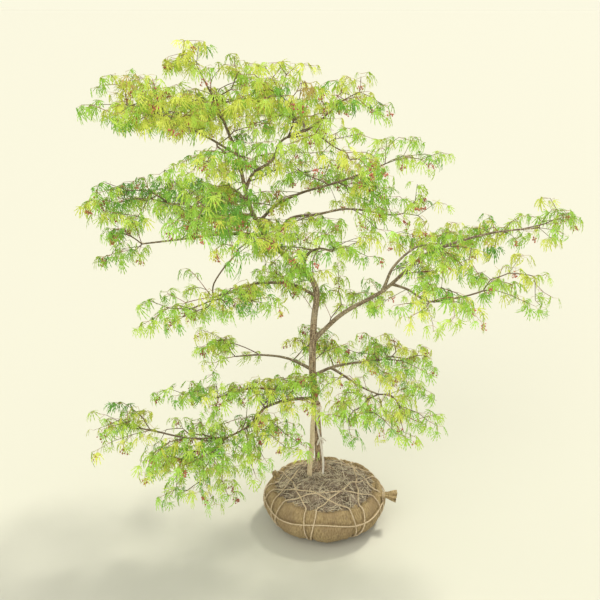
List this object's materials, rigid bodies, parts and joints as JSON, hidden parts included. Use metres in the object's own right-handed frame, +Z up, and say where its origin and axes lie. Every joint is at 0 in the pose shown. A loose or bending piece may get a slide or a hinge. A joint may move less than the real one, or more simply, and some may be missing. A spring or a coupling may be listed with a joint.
{
  "type": "japanese maple tree on a burlapped root ball",
  "caption": "Young cut-leaf Japanese maple with a leaning trunk, layered pads of foliage and a burlap-wrapped root ball tied with rope.",
  "frame": {"origin": "centre of the root ball's flat underside, where the ball stands on the floor", "axes": "+Z up, +X to the right of the tree's front, where the long low bough reaches out, +Y towards the tree's back"},
  "size_m": [1.861, 1.3907, 2.003],
  "materials": {
    "bark": "smooth grey-brown young bark with fine fissures and pale lenticels",
    "bough_bark": "smooth olive-brown bark",
    "foliage_top": "bright yellow-green young leaves in sun",
    "foliage_middle": "fresh green young leaves",
    "foliage_shade": "deeper green leaves in shade",
    "burlap": "coarse tan woven jute",
    "soil": "dry crumbly soil with straw and twigs",
    "rope": "twisted pale jute rope",
    "tie": "flat pale straw tape"
  },
  "bodies": {
    "root": {"root_soil": "soil", "burlap_wrap": "burlap", "belt_rope": "rope", "trunk_tie": "tie", "trunk": "bark", "bough_low_left": "bough_bark", "bough_low_left_upper": "bough_bark", "bough_low_right": "bough_bark", "bough_low_right_front": "bough_bark", "bough_low_back": "bough_bark", "bough_right_long": "bough_bark", "bough_right_rise": "bough_bark", "bough_right_dip": "bough_bark", "bough_left_front": "bough_bark", "bough_centre_right": "bough_bark", "bough_right_middle": "bough_bark", "bough_left_middle": "bough_bark", "bough_right_high": "bough_bark", "bough_left_high": "bough_bark", "bough_left_back": "bough_bark", "bough_top_right": "bough_bark", "bough_top_left": "bough_bark", "mass_top_shoots": "foliage_top", "mass_top_middle": "foliage_top", "mass_top_right": "foliage_top", "mass_top_left_front": "foliage_top", "mass_top_left_tip": "foliage_top", "mass_top_back_left": "foliage_top", "mass_top_back_right": "foliage_top", "mass_upper_right": "foliage_top", "mass_upper_right_tip": "foliage_middle", "mass_upper_right_front": "foliage_top", "mass_under_top_front": "foliage_middle", "mass_upper_back": "foliage_middle", "mass_middle_right_back": "foliage_middle", "mass_middle_right_tip": "foliage_middle", "mass_left_tier_upper": "foliage_shade", "mass_left_tier_front": "foliage_shade", "mass_left_tier_tip": "foliage_shade", "mass_left_back": "foliage_shade", "mass_centre_front": "foliage_middle", "mass_centre": "foliage_middle", "mass_centre_right": "foliage_middle", "mass_centre_back": "foliage_middle", "mass_low_left_tier": "foliage_middle", "mass_right_arm_inner": "foliage_middle", "mass_right_arm_middle": "foliage_middle", "mass_right_arm_tip": "foliage_middle", "mass_right_arm_low": "foliage_middle", "mass_right_arm_back": "foliage_middle", "mass_right_front": "foliage_middle", "mass_low_right_back": "foliage_middle", "mass_low_right_front": "foliage_middle", "mass_low_left_back": "foliage_middle", "mass_low_left_upper": "foliage_middle", "mass_low_centre": "foliage_middle", "mass_low_left_tip": "foliage_middle", "mass_low_left": "foliage_middle", "mass_low_left_hang": "foliage_middle", "mass_low_left_inner": "foliage_middle"}
  },
  "joints": []
}
